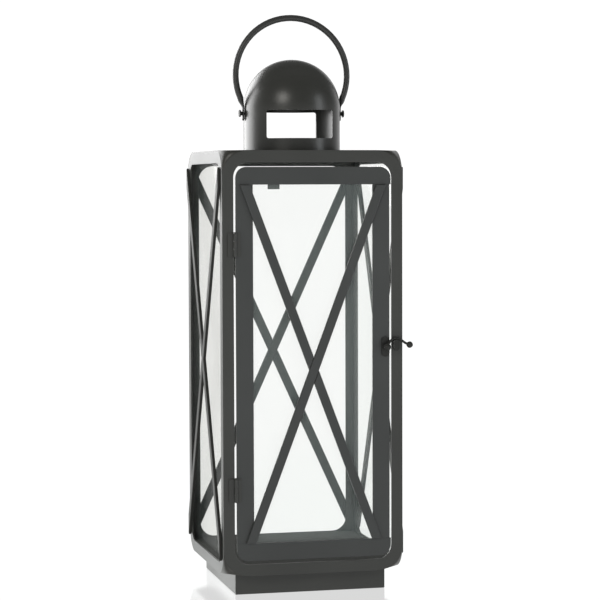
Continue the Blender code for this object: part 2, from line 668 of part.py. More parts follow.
def build_latch(hardware, door_axis, latch_axis):
    """A plate and a ball-headed pivot on the door, a lever with a ball end, and a peg on the frame."""
    plate_back = FRONT - WELD_GAP
    plate_front = plate_back - LATCH_PLATE_SHEET
    half_w = LATCH_PLATE_WIDTH / 2
    low = LATCH_Z - LATCH_PLATE_HEIGHT / 2
    high = LATCH_Z + LATCH_PLATE_HEIGHT / 2
    outline = rounded_outline(LATCH_X - half_w, LATCH_X + half_w, low, high, half_w - ROUND_END_SPARE)
    add_object("latch_plate", prism(outline, plate_front, plate_back), hardware, 0.0, door_axis)

    collar_back = plate_front - WELD_GAP
    collar_front = collar_back - PIVOT_COLLAR_LENGTH
    wire_y = collar_front - RUN_GAP - LEVER_WIRE
    shank_end = wire_y - LEVER_WIRE - RUN_GAP
    ball_angle = math.asin(PIVOT_SHANK / KNOB_RADIUS)
    ball_center = shank_end - KNOB_RADIUS * math.cos(ball_angle)
    profile = [
        (0.0, -collar_back), (PIVOT_COLLAR, -collar_back),
        (PIVOT_COLLAR, -collar_front), (PIVOT_SHANK, -collar_front),
    ]
    for i in range(BALL_STEPS + 1):
        angle = ball_angle + (math.pi - ball_angle) * i / BALL_STEPS
        spot = KNOB_RADIUS * math.sin(angle) if i < BALL_STEPS else 0.0
        profile.append((spot, -ball_center - KNOB_RADIUS * math.cos(angle)))
    knob = turned(profile, KNOB_STEPS, "Y", (LATCH_X, 0.0, LATCH_Z))
    add_object("latch_pivot", knob, hardware, 0.0, door_axis, smooth=True)

    peg_x = BODY_WIDTH / 2 - FRAME_STRIP + PEG_INSET + PEG_WIDTH / 2
    peg_top = LATCH_Z + PEG_TOP_RISE
    half_w = PEG_WIDTH / 2
    outline = rounded_outline(
        peg_x - half_w, peg_x + half_w, peg_top - PEG_HEIGHT, peg_top, half_w - ROUND_END_SPARE,
    )
    add_object("latch_peg", prism(outline, plate_back - PEG_LENGTH, plate_back), hardware)

    crown_z = peg_top + WELD_GAP + LEVER_WIRE
    ball = Vector((BODY_WIDTH / 2 + LEVER_BALL_REACH, LATCH_Z + LEVER_BALL_RISE))
    rise = crown_z - LATCH_Z
    stations = []
    lean = math.radians(LEVER_LEAN)
    eye = Vector((math.cos(lean), math.sin(lean)))
    pivot = Vector((LATCH_X, LATCH_Z))
    for i in range(BEND_STEPS):
        angle = math.radians(LEVER_EYE_SWEEP) * i / (BEND_STEPS - 1)
        spot = pivot - eye * LEVER_EYE * math.cos(angle)
        stations.append((spot.x, spot.y, max(LEVER_EYE * math.sin(angle), LEVER_EYE_TIP), LEVER_WIRE))
    leave = pivot + eye * (LEVER_EYE + LEVER_EYE_NECK)
    crown = Vector((peg_x, crown_z))
    for i in range(CLIMB_STEPS):
        t = i / CLIMB_STEPS
        spot = leave.lerp(crown, t)
        bulge = math.sin(math.pi * t) * LEVER_CROWN_BULGE * rise
        stations.append((spot.x - bulge / 2, spot.y + bulge, LEVER_WIRE, LEVER_WIRE))
    down = ball - crown
    for i in range(BEND_STEPS):
        t = i / BEND_STEPS
        sag = 3 * t * t - 2 * t ** 3
        x = crown.x + down.x * t
        z = crown.y + down.y * sag
        if (Vector((x, z)) - ball).length < LEVER_BALL:
            break
        stations.append((x, z, LEVER_WIRE, LEVER_WIRE))
    last = Vector(stations[-1][:2])
    heading = (ball - last).normalized()
    neck = math.asin(LEVER_WIRE / LEVER_BALL)
    for i in range(BEND_STEPS + 1):
        angle = neck + (math.pi - BALL_CAP - neck) * i / BEND_STEPS
        spot = ball - heading * LEVER_BALL * math.cos(angle)
        size = LEVER_BALL * math.sin(angle)
        stations.append((spot.x, spot.y, size, size))
    bm = bent_bar(stations, wire_y, WIRE_STEPS)
    lever = add_object("latch_lever", bm, hardware, 0.0, latch_axis, smooth=True)
    hole = PIVOT_SHANK + RUN_GAP
    ends = (-wire_y - CUT_SPARE, -wire_y + CUT_SPARE)
    cut(lever, [rod(hole, *ends, KNOB_STEPS, "Y", (LATCH_X, 0.0, LATCH_Z))])


def build_chimney(paint):
    """A straight tube with a window front and back, and a half-round dome welded on it."""
    inner = CHIMNEY_RADIUS - CHIMNEY_SHEET
    profile = [
        (CHIMNEY_RADIUS, CHIMNEY_TOP), (CHIMNEY_RADIUS, CHIMNEY_BOTTOM),
        (inner, CHIMNEY_BOTTOM), (inner, CHIMNEY_TOP),
    ]
    tube = add_object("chimney_tube", turned(profile, ROUND_STEPS), paint, smooth=True)
    sill = BODY_TOP + WINDOW_SILL
    half = WINDOW_WIDTH / 2
    outline = rounded_outline(-half, half, sill, sill + WINDOW_HEIGHT, WINDOW_RADIUS)
    reach = CHIMNEY_RADIUS + CUT_SPARE
    window = prism(outline, -reach, reach)
    rivet_hole = rod(RIVET_SHANK + WELD_GAP, -reach, reach, PIN_STEPS, "X", (0.0, 0.0, PIVOT_Z))
    cut(tube, [window, rivet_hole])

    base = CHIMNEY_TOP + WELD_GAP
    outside = []
    inside = []
    for i in range(DOME_STEPS + 1):
        angle = math.pi / 2 * i / DOME_STEPS
        outside.append((CHIMNEY_RADIUS * math.cos(angle), base + CHIMNEY_RADIUS * math.sin(angle)))
        inside.append((inner * math.cos(angle), base + inner * math.sin(angle)))
    outside[-1] = (0.0, outside[-1][1])
    inside[-1] = (0.0, inside[-1][1])
    dome = turned(outside[::-1] + inside, ROUND_STEPS)
    add_object("chimney_dome", dome, paint, smooth=True)


def build_bail(paint, hardware, bail_axis):
    """A round rod bent to a loop, its ends hammered flat and riveted to the chimney."""
    loop = CHIMNEY_RADIUS + BAIL_SPREAD
    center_z = PIVOT_Z + BAIL_RISE
    ear_x = CHIMNEY_RADIUS + BAIL_EAR_CLEAR + BAIL_EAR_THICK / 2
    swell_x = CHIMNEY_RADIUS + 2 * BAIL_EAR_CLEAR + BAIL_ROD
    swell_angle = math.acos(swell_x / loop)
    ear_top = PIVOT_Z + BAIL_EAR_RISE
    swell_z = center_z - loop * math.sin(swell_angle)
    thin = BAIL_EAR_THICK / 2
    wide = BAIL_EAR_WIDTH / 2
    ear = []
    for i in range(EAR_STEPS + 1):
        t = i / EAR_STEPS
        z = PIVOT_Z - BAIL_EAR_DROP + BAIL_EAR_ROUNDING * t
        spread = BAIL_EAR_TIP + (1.0 - BAIL_EAR_TIP) * math.sin(math.pi / 2 * t)
        ear.append((ear_x, z, thin, wide * spread))
    ear.append((ear_x, PIVOT_Z, thin, wide))
    for i in range(CLIMB_STEPS):
        t = i / CLIMB_STEPS
        ease = t * t * (3 - 2 * t)
        z = ear_top + (swell_z - ear_top) * t
        x = ear_x + (swell_x - ear_x) * ease
        ear.append((x, z, thin + (BAIL_ROD - thin) * ease, wide + (BAIL_ROD - wide) * ease))
    stations = list(ear)
    for i in range(LOOP_STEPS + 1):
        angle = -swell_angle + (math.pi + 2 * swell_angle) * i / LOOP_STEPS
        stations.append((loop * math.cos(angle), center_z + loop * math.sin(angle), BAIL_ROD, BAIL_ROD))
    stations += [(-x, z, a, b) for x, z, a, b in reversed(ear)]
    bm = bent_bar(stations, 0.0, WIRE_STEPS)
    bail = add_object("bail_handle", bm, paint, 0.0, bail_axis, smooth=True)
    hole = RIVET_SHANK + RUN_GAP
    reach = CHIMNEY_RADIUS + 2 * CUT_SPARE
    holes = [
        rod(hole, CHIMNEY_RADIUS - CUT_SPARE, reach, PIN_STEPS, "X", (0.0, 0.0, PIVOT_Z)),
        rod(hole, -reach, -CHIMNEY_RADIUS + CUT_SPARE, PIN_STEPS, "X", (0.0, 0.0, PIVOT_Z)),
    ]
    cut(bail, holes)

    outer_face = CHIMNEY_RADIUS + BAIL_EAR_CLEAR + BAIL_EAR_THICK + RUN_GAP
    inner_face = math.sqrt((CHIMNEY_RADIUS - CHIMNEY_SHEET) ** 2 - RIVET_TAIL ** 2) - WELD_GAP
    profile = [
        (0.0, inner_face - RIVET_TAIL_THICK), (RIVET_TAIL, inner_face - RIVET_TAIL_THICK),
        (RIVET_TAIL, inner_face), (RIVET_SHANK, inner_face), (RIVET_SHANK, outer_face),
        (RIVET_NECK, outer_face), (RIVET_NECK, outer_face + RIVET_NECK_LENGTH),
        (RIVET_HEAD, outer_face + RIVET_NECK_LENGTH),
        (RIVET_HEAD, outer_face + RIVET_NECK_LENGTH + RIVET_HEAD_THICK),
        (0.0, outer_face + RIVET_NECK_LENGTH + RIVET_HEAD_THICK),
    ]
    for sign, word in ((-1, "left"), (1, "right")):
        bm = turned(profile, PIN_STEPS, "X")
        if sign < 0:
            bm.transform(Matrix.Rotation(math.pi, 4, "Z"))
        bm.transform(Matrix.Translation((0.0, 0.0, PIVOT_Z)))
        add_object(f"bail_rivet_{word}", bm, hardware, smooth=True)


clear_scene()
frame_paint = make_material("frame_paint", (0.045, 0.047, 0.045), 0.42, 0.0)
door_paint = make_material("door_paint", (0.05, 0.052, 0.05), 0.42, 0.0)
clear_glass = make_material("clear_glass", (0.92, 0.95, 0.93), 0.04, 0.0, 0.25)
dark_steel = make_material("dark_steel", (0.035, 0.036, 0.035), 0.38, 0.3)
door_hinge_axis = add_axis("door_axis", Vector((HINGE_X, HINGE_Y, (BODY_BOTTOM + BODY_TOP) / 2)))
lever_axis = add_axis("latch_axis", Vector((LATCH_X, FRONT, LATCH_Z)), door_hinge_axis)
loop_axis = add_axis("bail_axis", Vector((0.0, 0.0, PIVOT_Z)))
build_plates(frame_paint)
build_walls(frame_paint)
build_corner_webs(frame_paint)
build_panels(frame_paint, clear_glass, dark_steel)
build_door(door_paint, clear_glass, dark_steel, door_hinge_axis)
build_hinges(dark_steel, door_hinge_axis)
build_latch(dark_steel, door_hinge_axis, lever_axis)
build_chimney(frame_paint)
build_bail(frame_paint, dark_steel, loop_axis)
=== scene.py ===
"""The candle lantern, dressed: painted steel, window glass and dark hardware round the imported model.

Everything is in metres. The lantern stands on z = 0 and its door faces -Y.
"""

import math

import bmesh
import bpy
from mathutils import Matrix, Vector


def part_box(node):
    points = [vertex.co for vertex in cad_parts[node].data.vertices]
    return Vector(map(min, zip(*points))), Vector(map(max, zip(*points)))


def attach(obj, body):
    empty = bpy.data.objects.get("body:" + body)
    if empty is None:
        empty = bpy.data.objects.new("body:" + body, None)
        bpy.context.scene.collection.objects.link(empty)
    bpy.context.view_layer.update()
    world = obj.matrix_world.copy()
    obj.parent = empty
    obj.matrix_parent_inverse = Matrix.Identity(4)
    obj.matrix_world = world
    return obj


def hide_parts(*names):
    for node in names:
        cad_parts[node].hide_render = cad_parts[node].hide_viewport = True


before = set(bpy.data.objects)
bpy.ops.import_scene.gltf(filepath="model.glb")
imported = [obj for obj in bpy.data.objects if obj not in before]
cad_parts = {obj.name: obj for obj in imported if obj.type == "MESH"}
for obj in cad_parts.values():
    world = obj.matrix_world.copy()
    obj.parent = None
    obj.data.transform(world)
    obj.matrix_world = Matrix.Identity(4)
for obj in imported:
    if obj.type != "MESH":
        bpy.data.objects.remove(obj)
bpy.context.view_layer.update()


# --- Camera --------------------------------------------------------------------------------------
# A long lens a little left of the door and just under the roof's height, so that the left side is
# seen at a low angle and the roof not at all. The turns are in radians.

LENS_MM = 127.68
SENSOR_MM = 36.0
CAMERA_PLACE = Vector((-0.5456, -2.3277, 0.4435))
CAMERA_YAW = 0.2339
CAMERA_PITCH = 0.0537
CAMERA_ROLL = 0.0033
VIEW_REACH = 60.0

camera_data = bpy.data.cameras.new("view")
camera_data.lens = LENS_MM
camera_data.sensor_width = SENSOR_MM
camera_data.clip_end = VIEW_REACH
camera = bpy.data.objects.new("view", camera_data)
bpy.context.collection.objects.link(camera)
camera.matrix_world = (
    Matrix.Translation(CAMERA_PLACE)
    @ Matrix.Rotation(-CAMERA_YAW, 4, "Z")
    @ Matrix.Rotation(math.pi / 2 - CAMERA_PITCH, 4, "X")
    @ Matrix.Rotation(-CAMERA_ROLL, 4, "Z")
)
bpy.context.scene.camera = camera
bpy.context.scene.view_settings.view_transform = "Standard"


# --- Studio --------------------------------------------------------------------------------------
# A white table with a faint polish round the lantern, a wide soft box behind on the left that the
# left side mirrors at a low angle, two small ones at the front that give the dome its soft marks,
# and one overhead that lights the roof without mirroring in it.

FLOOR_SIZE = 40.0
BOX_FACING = Vector((0.0, 0.0, 0.25))
BACKDROP_GLOW = 1.06
FRONT_GLOW = 0.16
BACKDROP_TURN = (0.15, 0.85)   # Y parts of a direction between which the glow grows
BACKDROP_RISE = (0.25, 0.55)   # Z parts of a direction between which it ends
TABLE_MIRROR = 0.36
TABLE_ROUGHNESS = 0.10
TABLE_TINT = (0.97, 1.0, 0.985)
MIRROR_FADE = (0.6, 1.6)       # distances from the lantern between which the polish ends


def link(tree, output, target):
    tree.links.new(output, target)


def smooth_ramp(tree, source, start, end, first, last):
    """A soft step: first while source is under start, last once it is over end."""
    ramp = tree.nodes.new("ShaderNodeMapRange")
    ramp.interpolation_type = "SMOOTHSTEP"
    ramp.inputs["From Min"].default_value = start
    ramp.inputs["From Max"].default_value = end
    ramp.inputs["To Min"].default_value = first
    ramp.inputs["To Max"].default_value = last
    link(tree, source, ramp.inputs["Value"])
    return ramp.outputs["Result"]


def soft_box(name, place, width, height, power, tint=(1.0, 1.0, 1.0)):
    """A rectangular lamp, turned to face the middle of the lantern."""
    light = bpy.data.lights.new(name, "AREA")
    light.shape = "RECTANGLE"
    light.size = width
    light.size_y = height
    light.energy = power
    light.color = tint
    item = bpy.data.objects.new(name, light)
    bpy.context.collection.objects.link(item)
    item.location = place
    item.rotation_euler = (BOX_FACING - Vector(place)).to_track_quat("-Z", "Y").to_euler()
    return item


soft_box("left_rear_box", place=(-1.35, 1.75, 1.05), width=2.2, height=1.4, power=46.0)
soft_box("front_left_box", place=(-1.9, -2.7, 1.9), width=1.3, height=1.3, power=30.0,
         tint=(1.0, 0.98, 0.93))
soft_box("right_box", place=(2.4, -1.6, 0.9), width=0.7, height=1.6, power=12.0,
         tint=(0.93, 0.97, 1.0))
overhead = soft_box("overhead_box", place=(0.0, 0.6, 3.4), width=2.8, height=2.8, power=45.0)
overhead.visible_glossy = False

# The room: a white backdrop that glows behind the lantern, and a dark room above and at the camera.
world = bpy.data.worlds.new("studio")
bpy.context.scene.world = world
world.use_nodes = True
sky = world.node_tree
sky_light = sky.nodes["Background"]
path = sky.nodes.new("ShaderNodeLightPath")
heading = sky.nodes.new("ShaderNodeTexCoord")
parts = sky.nodes.new("ShaderNodeSeparateXYZ")
link(sky, heading.outputs["Generated"], parts.inputs["Vector"])
low_only = smooth_ramp(sky, parts.outputs["Z"], *BACKDROP_RISE, 1.0, 0.0)
behind = sky.nodes.new("ShaderNodeMath")
behind.operation = "MULTIPLY"
link(sky, parts.outputs["Y"], behind.inputs[0])
link(sky, low_only, behind.inputs[1])
glow = smooth_ramp(sky, behind.outputs["Value"], *BACKDROP_TURN, FRONT_GLOW, BACKDROP_GLOW)
seen = sky.nodes.new("ShaderNodeMix")
link(sky, path.outputs["Is Camera Ray"], seen.inputs["Factor"])
link(sky, glow, seen.inputs["A"])
seen.inputs["B"].default_value = BACKDROP_GLOW
link(sky, seen.outputs["Result"], sky_light.inputs["Strength"])
sky_light.inputs["Color"].default_value = (1.0, 1.0, 1.0, 1.0)

bm = bmesh.new()
bmesh.ops.create_grid(bm, x_segments=1, y_segments=1, size=FLOOR_SIZE / 2)
floor_mesh = bpy.data.meshes.new("table_top")
bm.to_mesh(floor_mesh)
bm.free()
floor = bpy.data.objects.new("table_top", floor_mesh)
bpy.context.collection.objects.link(floor)
table_white = bpy.data.materials.new("table_white")
table_white.use_nodes = True
table = table_white.node_tree
table.nodes.remove(table.nodes["Principled BSDF"])
lit = table.nodes.new("ShaderNodeEmission")
lit.inputs["Strength"].default_value = BACKDROP_GLOW
polish = table.nodes.new("ShaderNodeBsdfGlossy")
polish.inputs["Roughness"].default_value = TABLE_ROUGHNESS
polish.inputs["Color"].default_value = (*TABLE_TINT, 1.0)
spot = table.nodes.new("ShaderNodeTexCoord")
reach = table.nodes.new("ShaderNodeVectorMath")
reach.operation = "LENGTH"
link(table, spot.outputs["Object"], reach.inputs[0])
top_coat = table.nodes.new("ShaderNodeMixShader")
polish_share = smooth_ramp(table, reach.outputs["Value"], *MIRROR_FADE, TABLE_MIRROR, 0.0)
link(table, polish_share, top_coat.inputs["Fac"])
link(table, lit.outputs["Emission"], top_coat.inputs[1])
link(table, polish.outputs["BSDF"], top_coat.inputs[2])
link(table, top_coat.outputs["Shader"], table.nodes["Material Output"].inputs["Surface"])
floor_mesh.materials.append(table_white)


# --- Plinth --------------------------------------------------------------------------------------
# The square foot: steel sheet folded into a tray, corners welded and ground, powder coated a dark
# warm grey before the lantern is put together. The body's floor is welded on its rim.

GREY = (0.049, 0.051, 0.047)
PLINTH_SHEET = 0.0015
PLINTH_EDGE = 0.0009
RIM_REACH = 0.0005
SHARP = math.radians(40)
MERGE_DISTANCE = 0.00001
FLAT_ANGLE = math.radians(1)
DRIFT_SPAN = (0.3, 0.7)        # where the slow noise reaches its lowest and highest tone and gloss
TONE_SPAN = (0.88, 1.12)
GRAIN_SCALE = 2600.0
GRAIN_SHARE = 0.10
PEEL_SCALE = 700.0
PEEL_STRENGTH = 0.25
PEEL_DEPTH = 0.00006


def powder_coat(name, tone, patch_scale=9.0, gloss_range=(0.34, 0.42), sheen=0.5):
    """Satin powder coat: slow drift of tone and gloss, and the fine orange peel of baked powder."""
    material = bpy.data.materials.new(name)
    material.use_nodes = True
    tree = material.node_tree
    shader = tree.nodes["Principled BSDF"]
    place = tree.nodes.new("ShaderNodeTexCoord")

    drift = tree.nodes.new("ShaderNodeTexNoise")
    drift.inputs["Scale"].default_value = patch_scale
    drift.inputs["Detail"].default_value = 3.0
    link(tree, place.outputs["Object"], drift.inputs["Vector"])
    shade = tree.nodes.new("ShaderNodeValToRGB")
    for stop, position, factor in zip(shade.color_ramp.elements, DRIFT_SPAN, TONE_SPAN):
        stop.position = position
        stop.color = (*[factor * part for part in tone], 1.0)
    link(tree, drift.outputs["Fac"], shade.inputs["Fac"])

    grain = tree.nodes.new("ShaderNodeTexNoise")
    grain.inputs["Scale"].default_value = GRAIN_SCALE
    grain.inputs["Detail"].default_value = 1.0
    link(tree, place.outputs["Object"], grain.inputs["Vector"])
    speckle = tree.nodes.new("ShaderNodeMix")
    speckle.data_type = "RGBA"
    speckle.blend_type = "MULTIPLY"
    speckle.inputs["Factor"].default_value = GRAIN_SHARE
    link(tree, shade.outputs["Color"], speckle.inputs["A"])
    link(tree, grain.outputs["Color"], speckle.inputs["B"])
    link(tree, speckle.outputs["Result"], shader.inputs["Base Color"])

    gloss = tree.nodes.new("ShaderNodeMapRange")
    gloss.inputs["From Min"].default_value = DRIFT_SPAN[0]
    gloss.inputs["From Max"].default_value = DRIFT_SPAN[1]
    gloss.inputs["To Min"].default_value = gloss_range[0]
    gloss.inputs["To Max"].default_value = gloss_range[1]
    link(tree, drift.outputs["Fac"], gloss.inputs["Value"])
    link(tree, gloss.outputs["Result"], shader.inputs["Roughness"])
    shader.inputs["Specular IOR Level"].default_value = sheen

    peel = tree.nodes.new("ShaderNodeTexNoise")
    peel.inputs["Scale"].default_value = PEEL_SCALE
    peel.inputs["Detail"].default_value = 2.0
    link(tree, place.outputs["Object"], peel.inputs["Vector"])
    bump = tree.nodes.new("ShaderNodeBump")
    bump.inputs["Strength"].default_value = PEEL_STRENGTH
    bump.inputs["Distance"].default_value = PEEL_DEPTH
    link(tree, peel.outputs["Fac"], bump.inputs["Height"])
    link(tree, bump.outputs["Normal"], shader.inputs["Normal"])
    return material


def add_piece(name, bm, material, body, nodes, smooth_angle=35.0, flat=True):
    """Close off a bmesh as a finished piece that rides on a body and stands for its CAD nodes.

    Flat pieces keep even shading right up to their rounded edges.
    """
    mesh = bpy.data.meshes.new(name)
    bm.to_mesh(mesh)
    bm.free()
    mesh.shade_smooth()
    mesh.set_sharp_from_angle(angle=math.radians(smooth_angle))
    mesh.materials.append(material)
    piece = bpy.data.objects.new(name, mesh)
    bpy.context.collection.objects.link(piece)
    if flat:
        normals = piece.modifiers.new("even_normals", "WEIGHTED_NORMAL")
        normals.keep_sharp = True
        normals.weight = 100
    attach(piece, body)
    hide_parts(*nodes)
    return piece


def sheet_block(low, high):
    """A block between two corners."""
    bm = bmesh.new()
    size = high - low
    bmesh.ops.create_cube(bm, size=1.0)
    bmesh.ops.scale(bm, vec=size, verts=bm.verts)
    bmesh.ops.translate(bm, vec=(low + high) / 2, verts=bm.verts)
    return bm


def round_edges(bm, radius, segments=2, keep=None):
    """Bevel the sharp edges of a closed mesh, or only those that keep() picks."""
    edges = [e for e in bm.edges if e.is_manifold and e.calc_face_angle(0.0) > SHARP]
    if keep is not None:
        edges = [e for e in edges if keep(e)]
    bmesh.ops.bevel(
        bm, geom=edges, offset=radius, segments=segments, profile=0.5, affect="EDGES", material=-1,
        clamp_overlap=True,
    )


steel_paint = powder_coat("dark_grey_powder_coat", GREY)

low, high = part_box("base_plinth")
bm = sheet_block(low, high)
lid = [f for f in bm.faces if f.normal.z > 0]
bmesh.ops.inset_region(bm, faces=lid, thickness=PLINTH_SHEET, use_even_offset=True)
bottom = bmesh.ops.extrude_face_region(bm, geom=lid)
bmesh.ops.delete(bm, geom=lid, context="FACES")
sunk = [part for part in bottom["geom"] if isinstance(part, bmesh.types.BMVert)]
bmesh.ops.translate(bm, vec=(0, 0, -(high.z - low.z - PLINTH_SHEET)), verts=sunk)
round_edges(bm, PLINTH_EDGE, 3, lambda e: all(abs(v.co.x) > high.x - RIM_REACH for v in e.verts)
            or all(abs(v.co.y) > high.y - RIM_REACH for v in e.verts))
bmesh.ops.recalc_face_normals(bm, faces=bm.faces)
add_piece("plinth_tray", bm, steel_paint, "lantern_body", ["base_plinth"])


# --- Candle floor and roof -----------------------------------------------------------------------
# Two flat steel plates with cut corners, welded inside the wall frames. The roof has a round
# vent under the chimney, and its welds are ground flush with the frames.

ROOF_WELD = 0.00025


def clean_copy(node):
    """A closed copy of a CAD node's triangles, with whole faces where they lie flat."""
    bm = bmesh.new()
    bm.from_mesh(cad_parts[node].data)
    bmesh.ops.remove_doubles(bm, verts=bm.verts, dist=MERGE_DISTANCE)
    bmesh.ops.dissolve_limit(
        bm, angle_limit=FLAT_ANGLE, verts=bm.verts, edges=bm.edges, use_dissolve_boundaries=False,
    )
    return bm


def corner_cut_plate(node, grow):
    """The outline of a CAD plate, welded out to its frames."""
    bm = clean_copy(node)
    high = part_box(node)[1]
    stretch = (high.x + grow) / high.x
    bmesh.ops.scale(bm, vec=(stretch, stretch, 1.0), verts=bm.verts)
    return bm


floor_paint = powder_coat("candle_floor_powder_coat", GREY, gloss_range=(0.7, 0.8), sheen=0.12)
add_piece("candle_floor", corner_cut_plate("floor_plate", ROOF_WELD), floor_paint,
          "lantern_body", ["floor_plate"])
add_piece("roof", corner_cut_plate("roof_plate", ROOF_WELD), steel_paint,
          "lantern_body", ["roof_plate"])


# --- Wall frames ---------------------------------------------------------------------------------
# Each wall is a flat steel frame with round corners, its straight strips welded to cut corner
# pieces and ground flush, then powder coated with the body. The side frames fit between the others.

FRAME_SHEET = 0.002
CORNER_RADIUS = 0.029
OPENING_RADIUS = 0.0165
STRIP = 0.0125
TOP_STRIP = 0.014
FRONT_TOP_STRIP = 0.013
BACK_TOP_STRIP = 0.0155
ARC_STEPS = 16
FRAME_EDGE = 0.0004
SIDE_SHORT = 0.0005   # so that the side frames end just under the face of the other two


def rounded_rectangle(bm, left, right, bottom, top, radius, depth, steps):
    """A face in the XZ plane whose four corners are rounded, and its boundary edges."""
    corners = [(left, bottom), (right, bottom), (right, top), (left, top)]
    verts = [bm.verts.new((x, depth, z)) for x, z in corners]
    bm.faces.new(verts)
    before = set(bm.verts) - set(verts)
    bmesh.ops.bevel(
        bm, geom=verts, offset=radius, segments=steps, profile=0.5, affect="VERTICES", material=-1,
    )
    made = set(bm.verts) - before
    return [e for e in bm.edges if e.verts[0] in made and e.verts[1] in made]


def ring_frame(outer, outer_radius, opening, opening_radius, depth, sheet, steps):
    """A flat ring between two rounded rectangles, pushed back to the thickness of its sheet."""
    bm = bmesh.new()
    outside = rounded_rectangle(bm, *outer, outer_radius, depth, steps)
    inside = rounded_rectangle(bm, *opening, opening_radius, depth, steps)
    bmesh.ops.delete(bm, geom=list(bm.faces), context="FACES_ONLY")
    ring = bmesh.ops.bridge_loops(bm, edges=outside + inside)["faces"]
    pushed = bmesh.ops.extrude_face_region(bm, geom=ring)
    moved = [part for part in pushed["geom"] if isinstance(part, bmesh.types.BMVert)]
    bmesh.ops.translate(bm, vec=(0, sheet, 0), verts=moved)
    bmesh.ops.recalc_face_normals(bm, faces=bm.faces)
    return bm


body_low, body_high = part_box("front_frame")
half = body_high.x
for node, degrees, width, top_strip in (
    ("front_frame", 0, half, FRONT_TOP_STRIP), ("right_frame", 90, half - SIDE_SHORT, TOP_STRIP),
    ("back_frame", 180, half, BACK_TOP_STRIP), ("left_frame", 270, half - SIDE_SHORT, TOP_STRIP),
):
    opening_top = body_high.z - top_strip
    bm = ring_frame(
        (-width, width, body_low.z, body_high.z), CORNER_RADIUS,
        (STRIP - half, half - STRIP, body_low.z + STRIP, opening_top), OPENING_RADIUS,
        -half, FRAME_SHEET, ARC_STEPS,
    )
    round_edges(bm, FRAME_EDGE, 2)
    bmesh.ops.rotate(bm, verts=bm.verts, matrix=Matrix.Rotation(math.radians(degrees), 3, "Z"))
    add_piece(f"{node}_strip", bm, steel_paint, "lantern_body", [node])


# --- Corner plates -------------------------------------------------------------------------------
# Eight thin steel plates, each bent over a rounded corner and welded to the two frames beside it, so
# that the corner runs from a square post to a chamfered roof or foot in one sweep.

PLATE_SHEET = 0.0015
FIRST_ANGLE = math.radians(3)   # where a plate starts, so that it has a short first edge
# Darker than the body's grey: painted shade on the curved corners, which turn away from the lamps.
CORNER_SHADED_TONE = (0.034, 0.034, 0.029)


def corner_plate(upper):
    """The front left corner plate: two quarter arcs, one in each wall, bridged by a ruled surface."""
    level = body_high.z - CORNER_RADIUS if upper else body_low.z + CORNER_RADIUS
    sweep = math.pi / 2 - FIRST_ANGLE
    bm = bmesh.new()
    chains = []
    for axis, center in (
        (Vector((0, 1, 0)), Vector((CORNER_RADIUS - half, -half, level))),
        (Vector((-1, 0, 0)), Vector((-half, CORNER_RADIUS - half, level))),
    ):
        turn = 1.0 if upper else -1.0
        start = bm.verts.new((-half, -half, level))
        bmesh.ops.rotate(
            bm, cent=center, matrix=Matrix.Rotation(turn * FIRST_ANGLE, 3, axis), verts=[start],
        )
        before = set(bm.edges)
        bmesh.ops.spin(
            bm, geom=[start], cent=center, axis=axis, angle=turn * sweep, steps=ARC_STEPS, use_merge=False,
        )
        chains.append([e for e in bm.edges if e not in before])
    bmesh.ops.bridge_loops(bm, edges=chains[0] + chains[1])
    bmesh.ops.recalc_face_normals(bm, faces=bm.faces)
    outward = Vector((-1, -1, 1 if upper else -1))
    if sum((f.normal.dot(outward) for f in bm.faces)) < 0:
        bmesh.ops.reverse_faces(bm, faces=bm.faces)
    return bm


# The corner plates' paint carries that painted shade.
corner_shade_paint = powder_coat("corner_painted_shade_coat", CORNER_SHADED_TONE)
for upper, word_z in ((True, "top"), (False, "bottom")):
    for degrees, word in (
        (0, "front_left"), (90, "front_right"), (180, "back_right"), (270, "back_left"),
    ):
        bm = corner_plate(upper)
        bmesh.ops.rotate(bm, verts=bm.verts, matrix=Matrix.Rotation(math.radians(degrees), 3, "Z"))
        plate = add_piece(
            f"corner_plate_{word}_{word_z}", bm, corner_shade_paint, "lantern_body",
            [f"corner_web_{word}_{word_z}"], flat=False,
        )
        wall = plate.modifiers.new("sheet", "SOLIDIFY")
        wall.thickness = PLATE_SHEET
        wall.offset = -1.0


# --- Side and back bars --------------------------------------------------------------------------
# Flat steel bars crossed corner to corner, welded on the outer face of each frame and halved into
# each other in the middle. Their long edges are slightly rounded, and they are painted in place.

BAR_EDGE = 0.0006
WELD_GAP = 0.0003
# Darker than the body's grey, though the bars are painted with the body: painted shade.
SIDE_BAR_SHADED_TONE = (0.036, 0.037, 0.034)


def seated_copy(node, seat):
    """A clean copy of a CAD node, its back moved along seat to close the gap to what it is welded on."""
    bm = clean_copy(node)
    way = Vector(seat)
    deepest = max(v.co.dot(way) for v in bm.verts)
    back = [v for v in bm.verts if v.co.dot(way) > deepest - WELD_GAP / 2]
    bmesh.ops.translate(bm, vec=way * WELD_GAP, verts=back)
    return bm


# The bars' paint carries that painted shade.
side_bar_shade_paint = powder_coat("side_bar_painted_shade_coat", SIDE_BAR_SHADED_TONE, gloss_range=(0.45, 0.52), sheen=0.28)
for wall, inward in (("left", (1, 0, 0)), ("right", (-1, 0, 0)), ("back", (0, -1, 0))):
    for lean in ("rising", "falling"):
        node = f"{wall}_bar_{lean}"
        bm = seated_copy(node, inward)
        round_edges(bm, BAR_EDGE, 2)
        add_piece(f"{node}_flat", bm, side_bar_shade_paint, "lantern_body", [node])


# --- Panes ---------------------------------------------------------------------------------------
# Four panes of 2 mm window glass with seamed edges, held by bent tabs behind the frames and the
# door. The left one looks darker because it is seen at a low angle, and the door's has a film of haze.

